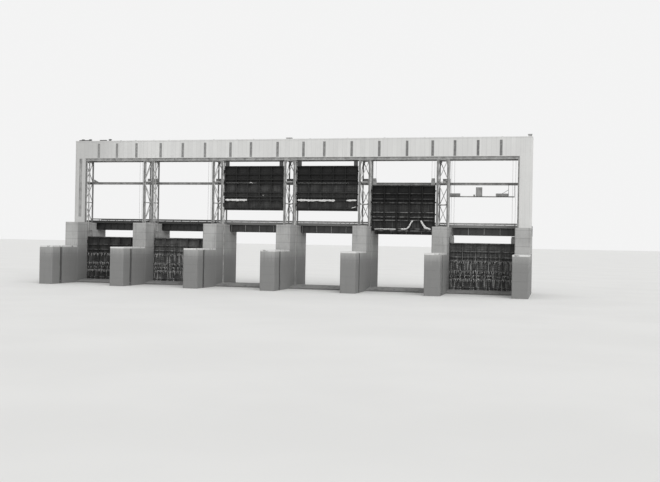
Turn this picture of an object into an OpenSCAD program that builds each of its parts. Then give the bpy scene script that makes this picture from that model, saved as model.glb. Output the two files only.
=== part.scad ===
// Six-bay spillway with vertical-lift gates, as a model at 1:10.
// X runs along the dam, +Y points upstream, +Z up. The origin is the middle of the base.
// All lengths are millimetres of the model, so 100 mm stand for 1 m.

/* [Piers] */
// Distance from the middle of one pier to the next
pitch = 1524; // [1450:1:1650]
// Width of a pier
pier_w = 285; // [265:1:310]
// Length of the tall part of a pier, along the flow
pier_tall_len = 1300; // [1250:5:1500]
// Length of the low part on the downstream side
pier_low_len = 950; // [700:5:1100]
// Height of the tall part's top above the base
pier_top = 1245; // [1180:5:1400]
// Height of the low part's top above the base
ledge_z = 755; // [500:5:850]
// Width of the stoplog groove in the low part
groove_w = 80; // [50:1:110]
// Depth of the stoplog groove
groove_d = 30; // [15:1:50]
// Distance of the groove from the downstream nose
groove_in = 280; // [180:5:400]
// Edge chamfer on the downstream ends
pier_chamfer = 12; // [4:1:30]

/* [Sill] */
// Thickness of the sill at its crest
sill_t = 60; // [40:1:90]
// Thickness of the sill's downstream edge
sill_toe = 22; // [12:1:35]
// Length of the flat crest
crest_len = 260; // [200:5:320]

/* [Towers] */
// Distance between leg middles along the dam
tower_w = 185; // [170:1:200]
// Distance between leg middles along the flow
tower_d = 300; // [270:1:340]
// Distance from the tall pier's downstream face to the first legs
tower_in = 390; // [360:1:440]
// Height of a tower
tower_h = 1292; // [1220:1:1450]
// Thickness of a leg
leg = 25; // [20:1:32]
// Width of a bracing bar
bar_w = 14; // [8:1:18]
// Thickness of a bracing bar
bar_t = 8; // [5:1:10]
// Thickness of a foot plate
foot_t = 8; // [5:1:12]
// Reach of a gusset plate from its leg's middle
gusset_r = 24; // [20:1:32]
// Height of the haunches at a tower's top
haunch_h = 150; // [100:1:200]

/* [Gates] */
// Height of a gate leaf
leaf_h = 890; // [820:1:930]
// Depth of a gate leaf, with its girders
leaf_d = 66; // [56:1:70]
// Thickness of the skin plate
skin_t = 5; // [4:1:8]
// Thickness of girder webs and ribs
web_t = 5; // [4:1:8]
// Width of a girder's flange
flange_w = 20; // [14:1:26]
// Gap between a leaf's end and the pier
leaf_gap = 6; // [5:1:10]
// Radius of a track wheel
wheel_r = 39; // [34:0.5:40]
// Width of a track wheel
wheel_w = 12; // [10:1:18]
// Clearance between a wheel and the back of its guide
wheel_side = 5; // [5:0.5:6]
// Clear width inside a guide channel
guide_clear = 85; // [82:1:95]
// Plate thickness of a guide channel
guide_t = 5; // [4:1:8]
// Clearance of a raised gate's lifting blocks below the gallery floor
raised_gap = 33; // [28:1:60]
// How far the part-raised gate reaches below the pier tops
part_below = 90; // [0:1:120]

/* [Lifting blocks] */
// Height of a lifting block above the leaf
block_h = 135; // [100:1:150]
// Length of a lifting block along the dam
block_l = 76; // [68:1:90]
// Radius of its sheave
sheave_r = 30; // [22:1:36]

/* [Gallery] */
// Height of the dark beams below the gallery
beam_h = 56; // [45:1:80]
// Width of those beams
beam_w = 30; // [24:1:40]
// Height of the gallery walls
wall_h = 342; // [300:1:400]
// Thickness of the gallery walls
wall_t = 12; // [8:1:20]
// Distance from the first legs' middle to the outside of the downstream wall
gallery_out = 30; // [26:1:60]
// Outside depth of the gallery along the flow
gallery_d = 380; // [370:5:450]
// Length of the gallery past the middle of the last tower
gallery_over = 138; // [115:1:141]
// Thickness of the gallery floor
floor_t = 15; // [10:1:25]
// Thickness of the roof
roof_t = 20; // [10:1:30]
// Width of a slit window
slit_w = 50; // [30:1:60]
// Wall left above a slit window
slit_head = 36; // [20:1:60]
// Wall left below a slit window
slit_foot = 6; // [2:1:30]
// Thickness of a window pane
pane_t = 4; // [2:0.5:6]

/* [End columns] */
// Width of the cladding on an end column
column_w = 232; // [200:1:240]
// Width of the long slit in the left column
column_slit_w = 60; // [40:1:80]
// Distance of that slit from the outer edge
column_slit_in = 92; // [60:1:110]
// Cladding left below that slit
column_slit_up = 116; // [80:1:200]
// Cladding left above that slit
column_slit_down = 8; // [4:1:60]

/* [Mid-height girder] */
// Height of the girder's middle above the pier tops
girder_up = 845; // [800:5:880]
// Height of the girder
girder_h = 50; // [40:1:60]
// Width of the girder
girder_w = 30; // [24:1:40]
// Height of the boxes that stand on it beside the towers
box_h = 72; // [50:1:100]
// Distance of the hung stage below the girder
stage_drop = 216; // [190:1:260]
// Gap between the stage's free end and the last tower
stage_short = 86; // [40:1:150]

/* [Deck] */
// Width of the road deck
deck_w = 480; // [420:5:520]
// Depth of the deck girders
deck_h = 145; // [120:5:180]
// Thickness of the deck slab
slab_t = 25; // [18:1:35]
// Height of the kerbs
kerb_h = 30; // [15:1:45]
// Height of the guard rail above the kerbs
rail_h = 40; // [34:1:60]
// Height of the guard rail's beam
rail_beam = 22; // [14:1:28]

/* [Roof vent] */
// Side of the vent's square base
vent_w = 70; // [50:1:90]
// Height of the vent
vent_h = 52; // [36:1:70]
// Length of the roof hatch over the middle tower
hatch_l = 110; // [80:1:140]
// Height of the roof hatch
hatch_h = 38; // [25:1:50]
// Radius of a round ventilator
ventilator_r = 32; // [24:0.5:40]
// Height of a round ventilator
ventilator_h = 32; // [20:0.5:44]

/* [Hidden] */
bays = 6;
$fn = 48;

// A tiny overlap that lets cuts pass their faces
eps = 1;

// Places along the flow
y_back = (pier_tall_len + pier_low_len) / 2;
y_nose = -y_back;
y_front = y_nose + pier_low_len;
legs_y = [y_front + tower_in, y_front + tower_in + tower_d];
half_leg = leg / 2;
guide_y = legs_y[0] + half_leg;
guide_w = guide_clear + 2 * guide_t;
// Above the piers the back of a guide is cut into panels, with battens between them
guide_panels = 6;
batten = 12;
guide_edge = 11;
// Wheels run this far off the downstream flange of the guide
wheel_gap = 0.4;
wheel_y = guide_y + guide_t + wheel_gap + wheel_r;

// Places along the dam
function pier_x(i) = (i - (bays + 2) / 2) * pitch;
function bay_x(i) = pier_x(i) + pitch / 2;
leg_out = tower_w / 2 + half_leg;
slot_d = pier_w / 2 - leg_out + guide_t;
// The guide's flange reaches a little past the wheel
guide_lip = 1;
guide_depth = guide_t + wheel_side + wheel_w + guide_lip;
bay_clear = pitch - pier_w;
end_x = pier_x(bays + 1) + pier_w / 2;

// Gate leaf, and how high each one hangs: 0 is closed, 1 is fully raised
leaf_w = bay_clear - 2 * leaf_gap;
leaf_seat = 0.5;
closed_z = sill_t + leaf_seat;
raised_z = pier_top + tower_h + beam_h - raised_gap - block_h - leaf_h;
part_z = pier_top - part_below;
leaf_z = [closed_z, closed_z, raised_z, raised_z, part_z, closed_z];
leaf_y = wheel_y - leaf_d / 2;
hub_l = pier_w / 2 + leaf_gap - leg_out - wheel_side - wheel_w;
girder_at = [0.05, 0.233, 0.306, 0.406, 0.615, 0.696, 0.816];
rib_at = [0.2, 0.4, 0.6, 0.8];
wheel_at = [0.12, 0.37, 0.63, 0.88];

// Heights of the gallery
beam_z = pier_top + tower_h;
floor_z = beam_z + beam_h;
roof_z = floor_z + wall_h;
gallery_y = legs_y[0] - gallery_out;
gallery_x = pier_x(bays + 1) + gallery_over;
slit_z = floor_z + slit_foot;
slit_h = roof_z - slit_head - slit_z;
// Slit windows of each bay, as shares of the pitch from the pier's middle
slit_at = [
    [0.26, 0.535, 0.825], [0.182, 0.502, 0.822], [0.182, 0.468, 0.835],
    [0.187, 0.467, 0.828], [0.188, 0.544, 0.868], [0.147, 0.432, 0.713]
];

// Mid-height girder on the upstream face of the towers
girder_z = pier_top + girder_up - girder_h / 2;
girder_y = legs_y[1] + half_leg;
// How far the boxes stand out over the girder
box_over = 15;
// Boxes beside each tower, from where to where, as shares of tower_w from its middle
boxes_at = [
    [], [[-0.89, -0.54], [-0.26, 0.43]], [[-0.84, 0.11]], [[-0.83, 0.23]], [[-0.52, 0.50]],
    [[-0.19, 0.19], [0.43, 0.59]], [[-0.26, 0.43]]
];

// Steps of the curved faces of a sill
fall_steps = 6;

// Road deck
deck_inset = 20;
deck_y = y_back - deck_inset - deck_w;
seat_z = pier_top - deck_h;
seat_gap = 15;
deck_line_count = 4;
deck_line_in = 60;
deck_flange_w = 40;
deck_flange_t = 8;
posts_per_bay = 8;

// A straight bar of width w from a to b, drawn flat
module bar(a, b, w) {
    d = b - a;
    n = [-d[1], d[0]] / norm(d) * w / 2;
    polygon([a + n, b + n, b - n, a - n]);
}

// An I-section with its foot on the ground line, height h and width w
module i_section(w, h, flange, web) {
    translate([-w / 2, 0]) square([w, flange]);
    translate([-w / 2, h - flange]) square([w, flange]);
    translate([-web / 2, 0]) square([web, h]);
}

// Extrudes a flat shape drawn as (Y, Z) along X, from x on
module along_x(x, length) {
    translate([x, 0, 0]) rotate([90, 0, 90]) linear_extrude(length) children();
}

// Cross-section of a tall pier from above: square downstream, round upstream
module pier_plan() {
    r = pier_w / 2;
    difference() {
        union() {
            translate([-r, y_front]) square([pier_w, pier_tall_len - r]);
            translate([0, y_back - r]) circle(r);
        }
        for (s = [-1, 1])
            translate([s * r, y_front]) rotate(45)
                square(pier_chamfer * sqrt(2), center = true);
    }
}

module low_plan() {
    r = pier_w / 2;
    difference() {
        translate([-r, y_nose]) square([pier_w, pier_low_len + eps]);
        for (s = [-1, 1])
            translate([s * r, y_nose]) rotate(45)
                square(pier_chamfer * sqrt(2), center = true);
    }
}

// Slots and grooves on one side of a pier: s is -1 for the left face, 1 for the right
module side_cuts(s) {
    face = s * pier_w / 2;
    cut_x = min(face, face - s * slot_d) - (s < 0 ? eps : 0);
    translate([cut_x, guide_y, sill_t])
        cube([slot_d + eps, guide_w, pier_top]);
    groove_x = min(face, face - s * groove_d) - (s < 0 ? eps : 0);
    translate([groove_x, y_nose + groove_in, sill_t])
        cube([groove_d + eps, groove_w, ledge_z]);
}

module pier(i) {
    color([0.62, 0.62, 0.61])
    translate([pier_x(i), 0, 0])
    difference() {
        union() {
            linear_extrude(pier_top) pier_plan();
            linear_extrude(ledge_z) low_plan();
        }
        translate([-pier_w, deck_y - seat_gap, seat_z])
            cube([2 * pier_w, pier_tall_len, pier_top]);
        if (i <= bays) side_cuts(1);
        if (i > 1) side_cuts(-1);
    }
}

// Points of a sill's face, which falls as a parabola from its crest to its toe
function sill_fall(crest, toe) = [
    for (k = [1 : fall_steps])
        [crest + (toe - crest) * k / fall_steps, sill_t - (sill_t - sill_toe) * pow(k / fall_steps, 2)]
];

// Sill profile seen along the dam: flat crest under the gate, falling both ways
module sill_profile() {
    crest_y = wheel_y - crest_len / 2;
    toe_y = y_back - pier_w / 2;
    polygon(concat(
        [[y_front, 0], [toe_y, 0]],
        [for (k = [fall_steps : -1 : 1]) sill_fall(crest_y + crest_len, toe_y)[k - 1]],
        [[crest_y + crest_len, sill_t], [crest_y, sill_t]],
        sill_fall(crest_y, y_front)
    ));
}

module sills() {
    color([0.5, 0.5, 0.49])
    for (i = [1 : bays])
        along_x(pier_x(i) + pier_w / 2, bay_clear) sill_profile();
}

// One face of a tower, drawn flat between leg middles w apart: a zigzag with a strut at each turn
module lattice(w, h) {
    panels = 3;
    step = h / panels;
    intersection() {
        for (k = [0 : panels - 1]) {
            side = k % 2 == 0 ? -1 : 1;
            bar([side * w / 2, k * step], [-side * w / 2, (k + 1) * step], bar_w);
        }
        translate([-w, 0]) square([2 * w, h]);
    }
    for (k = [0 : panels])
        translate([-w / 2, min(max(k * step - bar_w / 2, 0), h - bar_w)])
            square([w, bar_w]);
    for (s = [-1, 1]) {
        haunch(s * w / 2, h, -s);
        intersection() {
            for (k = [0 : panels - 1])
                gusset(s * w / 2, k * step, -s);
            translate([-w, 0]) square([2 * w, h]);
        }
    }
}

// Gusset plate on a leg at x, reaching inwards to side s
module gusset(x, z, s) {
    r = gusset_r;
    polygon([[x, z - r], [x, z + r], [x + s * r, z + r / 3], [x + s * r, z - r / 3]]);
}

// Slender haunch below the top of a leg at x
module haunch(x, z, s) {
    reach = s * 1.6 * gusset_r;
    polygon([[x, z - haunch_h], [x, z], [x + reach, z], [x + reach, z - gusset_r]]);
}

module tower(i) {
    color([0.42, 0.42, 0.43])
    translate([pier_x(i), 0, pier_top]) {
        for (s = [-1, 1]) {
            for (y = legs_y) {
                translate([s * tower_w / 2 - half_leg, y - half_leg, 0])
                    cube([leg, leg, tower_h]);
                foot_x = s < 0 ? -leg_out : leg_out - 2 * leg;
                translate([foot_x, y - half_leg, 0]) cube([2 * leg, leg, foot_t]);
            }
            translate([s * tower_w / 2 - bar_t / 2, (legs_y[0] + legs_y[1]) / 2, 0])
                rotate([90, 0, 90]) linear_extrude(bar_t) lattice(tower_d, tower_h);
        }
        for (end = [0, 1])
            translate([0, legs_y[end] + bar_t / 2, 0]) mirror([end, 0, 0])
                rotate([90, 0, 0]) linear_extrude(bar_t) lattice(tower_w, tower_h);
    }
}

// Channel seen from above, open towards +X, with its back on the line x = 0
module channel(depth) {
    difference() {
        square([depth, guide_w]);
        translate([guide_t, guide_t]) square([depth, guide_clear]);
    }
}

// One guide with its back on the plane x = 0, open towards +X
module guide() {
    step = tower_h / guide_panels;
    difference() {
        translate([0, guide_y, sill_t]) linear_extrude(beam_z - sill_t) channel(guide_depth);
        for (k = [0 : guide_panels - 1])
            translate([-eps, guide_y + guide_edge, pier_top + k * step + batten / 2])
                cube([guide_t + 2 * eps, guide_w - 2 * guide_edge, step - batten]);
    }
}

module gate_guides() {
    color([0.34, 0.34, 0.35])
    for (i = [1 : bays]) {
        translate([pier_x(i) + leg_out - guide_t, 0, 0]) guide();
        translate([pier_x(i + 1) - leg_out + guide_t, 0, 0]) mirror([1, 0, 0]) guide();
    }
}

// Track wheel on its hub, from a leaf's end at x = 0 outwards
module wheel() {
    rim = 9;
    dish = 4;
    hub_r = wheel_r / 3;
    rim_r = wheel_r - rim;
    out = hub_l + wheel_w;
    rotate([0, 90, 0]) rotate_extrude() polygon([
        [0, -eps], [hub_r, -eps], [hub_r, hub_l + dish], [rim_r, hub_l + dish], [rim_r, hub_l],
        [wheel_r, hub_l], [wheel_r, out], [rim_r, out], [rim_r, out - dish], [hub_r, out - dish],
        [hub_r, out], [0, out]
    ]);
}

// Leaf with its middle at x = 0, its foot at z = 0 and its ribs downstream
module leaf() {
    back = leaf_y + leaf_d;
    rib_d = leaf_d - flange_w / 2;
    translate([-leaf_w / 2, back - skin_t, 0]) cube([leaf_w, skin_t, leaf_h]);
    for (z = concat([0, leaf_h - web_t], girder_at * leaf_h))
        translate([-leaf_w / 2, leaf_y, z]) cube([leaf_w, leaf_d, web_t]);
    for (z = girder_at * leaf_h)
        translate([-leaf_w / 2, leaf_y, z + web_t / 2 - flange_w / 2])
            cube([leaf_w, web_t, flange_w]);
    for (z = [0, leaf_h - flange_w])
        translate([-leaf_w / 2, leaf_y, z]) cube([leaf_w, web_t, flange_w]);
    for (share = rib_at)
        translate([(share - 0.5) * leaf_w - web_t / 2, back - rib_d, 0])
            cube([web_t, rib_d, leaf_h]);
    for (s = [-1, 1]) {
        translate([s < 0 ? -leaf_w / 2 : leaf_w / 2 - web_t, leaf_y, 0])
            cube([web_t, leaf_d, leaf_h]);
        for (share = wheel_at)
            translate([s * leaf_w / 2, wheel_y, share * leaf_h])
                mirror([s < 0 ? 1 : 0, 0, 0]) wheel();
    }
}

module gate_leaf(i) {
    color([0.2, 0.2, 0.2])
    translate([bay_x(i), 0, leaf_z[i - 1]]) leaf();
}

// Side view of a lifting block's cheek, with cut corners above
module cheek() {
    top_l = 0.78 * block_l;
    polygon([
        [-block_l / 2, 0], [block_l / 2, 0], [block_l / 2, 0.6 * block_h], [top_l / 2, block_h],
        [-top_l / 2, block_h], [-block_l / 2, 0.6 * block_h]
    ]);
}

// Two cheeks on a base plate, with a grooved sheave between them, standing on a leaf's top
module lift_block() {
    cheek_t = web_t;
    sheave_w = leaf_d / 4;
    base_w = sheave_w + 4 * cheek_t;
    base_t = 6;
    groove = 5;
    pin_r = sheave_r / 4;
    translate([-block_l / 2, -base_w / 2, 0]) cube([block_l, base_w, base_t]);
    for (s = [-1, 1])
        translate([0, s * (sheave_w + cheek_t) / 2 + cheek_t / 2, 0])
            rotate([90, 0, 0]) linear_extrude(cheek_t) cheek();
    translate([0, 0, block_h - sheave_r - web_t]) rotate([90, 0, 0]) {
        rotate_extrude() polygon([
            [0, -sheave_w / 2], [sheave_r, -sheave_w / 2], [sheave_r - groove, 0],
            [sheave_r, sheave_w / 2], [0, sheave_w / 2]
        ]);
        cylinder(h = base_w, r = pin_r, center = true);
    }
}

module lift_blocks(i) {
    color([0.3, 0.3, 0.31])
    translate([bay_x(i), wheel_y, leaf_z[i - 1] + leaf_h])
    for (s = [-1, 1])
        translate([s * (leaf_w / 2 - 0.55 * block_l), 0, 0]) lift_block();
}

module gallery_beams() {
    color([0.36, 0.36, 0.37])
    for (y = legs_y)
        translate([0, y, beam_z])
            along_x(-gallery_x + wall_t, 2 * (gallery_x - wall_t))
                i_section(beam_w, beam_h, 8, 8);
}

module gallery_floor() {
    color([0.45, 0.45, 0.45])
    translate([-gallery_x + wall_t, gallery_y + wall_t, floor_z])
        cube([2 * (gallery_x - wall_t), gallery_d - 2 * wall_t, floor_t]);
}

// Places one child at each slit window along the dam
module at_slits() {
    for (i = [1 : bays])
        for (share = slit_at[i - 1])
            translate([pier_x(i) + share * pitch, 0, 0]) children();
}

// Plain long wall from y on, with its slit windows cut through
module long_wall(y) {
    difference() {
        translate([-gallery_x, y, floor_z]) cube([2 * gallery_x, wall_t, wall_h]);
        at_slits()
            translate([-slit_w / 2, y - eps, slit_z]) cube([slit_w, wall_t + 2 * eps, slit_h]);
    }
}

module gallery_front_wall() {
    color([0.8, 0.8, 0.8]) long_wall(gallery_y);
}

module gallery_back_wall() {
    color([0.8, 0.8, 0.8]) long_wall(gallery_y + gallery_d - wall_t);
}

module gallery_end_walls() {
    color([0.78, 0.78, 0.78])
    for (x = [-gallery_x, gallery_x - wall_t])
        translate([x, gallery_y + wall_t, floor_z])
            cube([wall_t, gallery_d - 2 * wall_t, wall_h]);
}

module gallery_roof() {
    color([0.75, 0.75, 0.75])
    translate([-gallery_x, gallery_y, roof_z]) cube([2 * gallery_x, gallery_d, roof_t]);
}

module gallery_glazing() {
    color([0.15, 0.15, 0.16])
    for (y = [gallery_y, gallery_y + gallery_d - wall_t])
        at_slits()
            translate([-slit_w / 2, y + (wall_t - pane_t) / 2, slit_z]) cube([slit_w, pane_t, slit_h]);
}

// Box with a lid that overhangs it by lip, standing on the roof
module lidded_box(length, width, height) {
    lip = 6;
    lid_t = 8;
    translate([-length / 2, -width / 2, 0]) cube([length, width, height - lid_t]);
    translate([-length / 2 - lip, -width / 2 - lip, height - lid_t])
        cube([length + 2 * lip, width + 2 * lip, lid_t]);
}

// Round ventilator with a wider hood
module ventilator() {
    r = ventilator_r;
    h = ventilator_h;
    rotate_extrude() polygon([
        [0, 0], [0.7 * r, 0], [0.7 * r, 0.35 * h], [r, 0.35 * h], [r, 0.65 * h], [0.5 * r, h], [0, h]
    ]);
}

// The vent at the right end, the hatch over the middle tower and three ventilators at the left end
module roof_vent() {
    vent_in = 50;
    color([0.3, 0.3, 0.3])
    translate([0, gallery_y, roof_z + roof_t]) {
        translate([gallery_x - vent_in, vent_in + vent_w / 2, 0]) lidded_box(vent_w, vent_w, vent_h);
        translate([pier_x(4) - 0.4 * hatch_l, hatch_l, 0]) lidded_box(hatch_l, vent_w, hatch_h);
        for (x = [pier_x(1) - 0.02 * pitch, pier_x(1) + 0.09 * pitch, pier_x(1) + 0.39 * pitch])
            translate([x, 0.3 * gallery_d, 0]) ventilator();
    }
}

// Cladding of the left column: its downstream face and its outer side
module column_cladding() {
    h = floor_z - pier_top;
    translate([-gallery_x, gallery_y, pier_top]) {
        difference() {
            cube([column_w, wall_t, h]);
            translate([column_slit_in, -eps, column_slit_up])
                cube([column_slit_w, wall_t + 2 * eps, h - column_slit_up - column_slit_down]);
        }
    }
}

module column_side() {
    translate([-gallery_x, gallery_y + wall_t, pier_top])
        cube([wall_t, gallery_d - wall_t, floor_z - pier_top]);
}

module column_cladding_left() {
    color([0.8, 0.8, 0.8]) {
        column_cladding();
        column_side();
    }
}

module column_cladding_right() {
    color([0.8, 0.8, 0.8])
    mirror([1, 0, 0]) {
        translate([-gallery_x, gallery_y, pier_top]) cube([column_w, wall_t, floor_z - pier_top]);
        column_side();
    }
}

// The girder, with a knee bracket on it beside the first tower
module mid_girder() {
    plate_t = 6;
    knee_l = 115;
    knee_h = 60;
    color([0.4, 0.4, 0.41])
    translate([0, girder_y + girder_w / 2, girder_z]) {
        along_x(pier_x(1) - leg_out, pier_x(bays + 1) - pier_x(1) + 2 * leg_out)
            i_section(girder_w, girder_h, plate_t, plate_t);
        translate([pier_x(1) + leg_out, plate_t / 2, girder_h - plate_t]) rotate([90, 0, 0])
            linear_extrude(plate_t)
                polygon([[0, 0], [knee_l, 0], [knee_l, plate_t], [0, plate_t + knee_h]]);
    }
}

// The boxes beside the towers, standing on the girder
module girder_boxes() {
    color([0.25, 0.25, 0.26])
    for (i = [1 : bays + 1])
        for (span = boxes_at[i - 1] * tower_w)
            translate([pier_x(i) + span[0], girder_y, girder_z + girder_h])
                cube([span[1] - span[0], girder_w + box_over, box_h]);
}

// Work stage hung below the girder in the last bay
module hung_stage() {
    plank_h = 12;
    plank_w = 2 * girder_w;
    start = pier_x(bays) + leg_out;
    stage_l = pitch - 2 * leg_out - stage_short;
    stage_z = girder_z - stage_drop;
    low_block_h = 60;
    left_block = [186, plank_w, low_block_h];
    right_block = [235, plank_w, low_block_h];
    right_in = 118;
    tall_box = [118, plank_w, 178];
    tall_box_in = 497;
    small_box = [30, plank_w, 38];
    small_box_in = 449;
    rod = 8;
    right_x = start + stage_l - right_in - right_block[0];
    color([0.3, 0.3, 0.3]) {
        translate([start, girder_y, stage_z - plank_h]) cube([stage_l, plank_w, plank_h]);
        translate([start + rod, girder_y, stage_z]) cube(left_block);
        translate([right_x, girder_y, stage_z]) cube(right_block);
        translate([start + tall_box_in, girder_y, stage_z]) cube(tall_box);
        translate([start + small_box_in, girder_y, stage_z]) cube(small_box);
        for (x = [start, right_x + right_block[0], start + stage_l - rod])
            translate([x, girder_y + girder_w / 2 - rod / 2, stage_z])
                cube([rod, rod, stage_drop]);
        translate([0, girder_y + girder_w / 2 + rod / 2, 0]) rotate([90, 0, 0])
            linear_extrude(rod)
                bar([right_x + right_block[0] / 2, stage_z + low_block_h - rod / 2],
                    [right_x + right_block[0] + rod / 2, stage_z + 0.6 * stage_drop], rod);
    }
}

function deck_line(k) = deck_y + deck_line_in + k * (deck_w - 2 * deck_line_in) / (deck_line_count - 1);

module deck_girders() {
    color([0.22, 0.22, 0.23]) {
        for (k = [0 : deck_line_count - 1])
            translate([0, deck_line(k), seat_z])
                along_x(-end_x, 2 * end_x)
                    i_section(deck_flange_w, deck_h, deck_flange_t, deck_flange_t);
        for (i = [1 : 2 * bays + 1])
            translate([pier_x(1) + (i - 1) * pitch / 2 - deck_flange_t / 2,
                       deck_line(0), seat_z + deck_flange_t * 2])
                cube([deck_flange_t, deck_line(deck_line_count - 1) - deck_line(0),
                      deck_h - deck_flange_t * 4]);
    }
}

module deck_slab() {
    color([0.6, 0.6, 0.6])
    translate([-end_x, deck_y, pier_top]) cube([2 * end_x, deck_w, slab_t]);
}

module deck_kerbs() {
    kerb_w = 30;
    color([0.65, 0.65, 0.65])
    for (y = [deck_y, deck_y + deck_w - kerb_w])
        translate([-end_x, y, pier_top + slab_t]) cube([2 * end_x, kerb_w, kerb_h]);
}

// Guard rails on short posts, along both kerbs
module deck_railing() {
    post = 8;
    post_gap = pitch / posts_per_bay;
    color([0.45, 0.45, 0.45])
    for (y = [deck_y + 11, deck_y + deck_w - 11 - post])
        translate([0, y + post, pier_top + slab_t + kerb_h]) rotate([90, 0, 0])
            linear_extrude(post) {
                for (k = [0 : bays * posts_per_bay])
                    translate([pier_x(1) + k * post_gap - post / 2, 0]) square([post, rail_h]);
                translate([pier_x(1) - post / 2, rail_h - rail_beam])
                    square([bays * pitch + post, rail_beam]);
            }
}

pier(1);  // pier_1
pier(2);  // pier_2
pier(3);  // pier_3
pier(4);  // pier_4
pier(5);  // pier_5
pier(6);  // pier_6
pier(7);  // pier_7
sills();
tower(1);  // tower_1
tower(2);  // tower_2
tower(3);  // tower_3
tower(4);  // tower_4
tower(5);  // tower_5
tower(6);  // tower_6
tower(7);  // tower_7
gate_guides();
gate_leaf(1);  // gate_leaf_1
gate_leaf(2);  // gate_leaf_2
gate_leaf(3);  // gate_leaf_3
gate_leaf(4);  // gate_leaf_4
gate_leaf(5);  // gate_leaf_5
gate_leaf(6);  // gate_leaf_6
lift_blocks(1);  // lift_blocks_1
lift_blocks(2);  // lift_blocks_2
lift_blocks(3);  // lift_blocks_3
lift_blocks(4);  // lift_blocks_4
lift_blocks(5);  // lift_blocks_5
lift_blocks(6);  // lift_blocks_6
gallery_beams();
gallery_floor();
gallery_front_wall();
gallery_back_wall();
gallery_end_walls();
gallery_roof();
gallery_glazing();
roof_vent();
column_cladding_left();
column_cladding_right();
mid_girder();
girder_boxes();
hung_stage();
deck_girders();
deck_slab();
deck_kerbs();
deck_railing();
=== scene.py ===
# Looks of a six-bay spillway with vertical-lift gates, a model at 1:10.
# All lengths are metres of the model, so 0.1 m stands for 1 m of the real dam.
import math

import bpy
from mathutils import Matrix, Vector, noise


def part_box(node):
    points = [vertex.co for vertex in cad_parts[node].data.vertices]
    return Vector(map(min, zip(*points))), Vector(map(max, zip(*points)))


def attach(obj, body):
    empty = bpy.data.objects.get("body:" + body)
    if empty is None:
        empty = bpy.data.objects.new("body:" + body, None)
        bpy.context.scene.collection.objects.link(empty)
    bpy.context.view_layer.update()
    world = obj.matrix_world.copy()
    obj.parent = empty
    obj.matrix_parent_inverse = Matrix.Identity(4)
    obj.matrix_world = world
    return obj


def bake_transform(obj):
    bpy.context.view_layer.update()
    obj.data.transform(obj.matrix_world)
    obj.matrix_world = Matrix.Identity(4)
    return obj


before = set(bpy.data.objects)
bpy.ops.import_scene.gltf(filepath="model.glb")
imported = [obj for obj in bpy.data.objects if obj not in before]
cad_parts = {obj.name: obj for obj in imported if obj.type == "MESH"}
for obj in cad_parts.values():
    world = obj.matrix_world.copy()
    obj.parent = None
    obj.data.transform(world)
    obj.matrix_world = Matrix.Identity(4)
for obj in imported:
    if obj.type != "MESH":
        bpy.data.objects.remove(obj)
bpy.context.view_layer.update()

BAYS = 6
PIERS = BAYS + 1
GATES = range(1, BAYS + 1)
FULLY_RAISED = (3, 4)
STRUCTURE = "structure"


def middle(node):
    low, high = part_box(node)
    return (low + high) / 2


# Layout read from the frame
tower_x = [middle("tower_%d" % i).x for i in range(1, PIERS + 1)]
pitch = tower_x[1] - tower_x[0]
pier_low, pier_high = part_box("pier_4")
pier_half = (pier_high.x - pier_low.x) / 2
pier_top = pier_high.z
sill_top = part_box("sills")[1].z
tower_low, tower_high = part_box("tower_4")
guide_low, guide_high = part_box("gate_guides")
leaf_low, leaf_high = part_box("gate_leaf_1")
wheel_y = middle("lift_blocks_1").y
gallery_low, gallery_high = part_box("gallery_front_wall")
back_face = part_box("gallery_back_wall")[1].y
roof_low, roof_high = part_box("gallery_roof")
beam_low, beam_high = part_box("gallery_beams")
girder_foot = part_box("mid_girder")[0].z
deck_low, deck_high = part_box("deck_slab")
deck_beam_low, deck_beam_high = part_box("deck_girders")
stage_low, stage_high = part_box("hung_stage")

# Sizes of the mid-height girder
GIRDER_HALF = 0.015
girder_top = girder_foot + 0.050

# Sizes of the towers' steel
LEG = 0.025
BAR_HALF = 0.004
PANELS = 3
TOWER_HALF = tower_high.x - tower_x[3] - LEG / 2
LEG_OUT = TOWER_HALF + LEG / 2
LEG_Y = (tower_low.y + LEG / 2, tower_high.y - LEG / 2)

# Stoplog grooves of the piers, top of the low part and downstream face of the tall part
GROOVE_Y = (pier_low.y + 0.280, pier_low.y + 0.360)
GROOVE_D = 0.030
LEDGE = 0.755
TALL_Y = pier_low.y + 0.950

# Sizes of a gate leaf, with its girders and ribs as shares of its height and width
LEAF_GAP = 0.006
LEAF_W = pitch - 2 * pier_half - 2 * LEAF_GAP
LEAF_D = 0.066
LEAF_Y = wheel_y - LEAF_D / 2
LEAF_H = leaf_high.z - leaf_low.z
WEB = 0.005
FLANGE = 0.020
GIRDER_AT = (0.05, 0.233, 0.306, 0.406, 0.615, 0.696, 0.816)
RIB_AT = (0.2, 0.4, 0.6, 0.8)

# Half the length of a lifting block, its sheave, the rope and the circle that the rope's middle runs on
BLOCK_HALF = 0.038
SHEAVE_R = 0.030
ROPE_R = 0.002
LAY_R = SHEAVE_R - 0.0026

# Slit windows, as shares of the pitch from the middle of the bay's left pier
SLIT_AT = (
    (0.26, 0.535, 0.825), (0.182, 0.502, 0.822), (0.182, 0.468, 0.835),
    (0.187, 0.467, 0.828), (0.188, 0.544, 0.868), (0.147, 0.432, 0.713),
)
SLIT_W = 0.050
SLIT_FOOT = gallery_low.z + 0.006
SLIT_HEAD = gallery_high.z - 0.036

# The gallery's long outer faces: place along the flow and the way out
GALLERY_FACES = ((gallery_low.y, -1), (back_face, 1))

# The left column's long slit: its edges from the gallery's left end, the cladding below and above it
COLUMN_SLIT = (0.092, 0.152)
COLUMN_SLIT_UP = 0.116
COLUMN_SLIT_DOWN = 0.008

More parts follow.
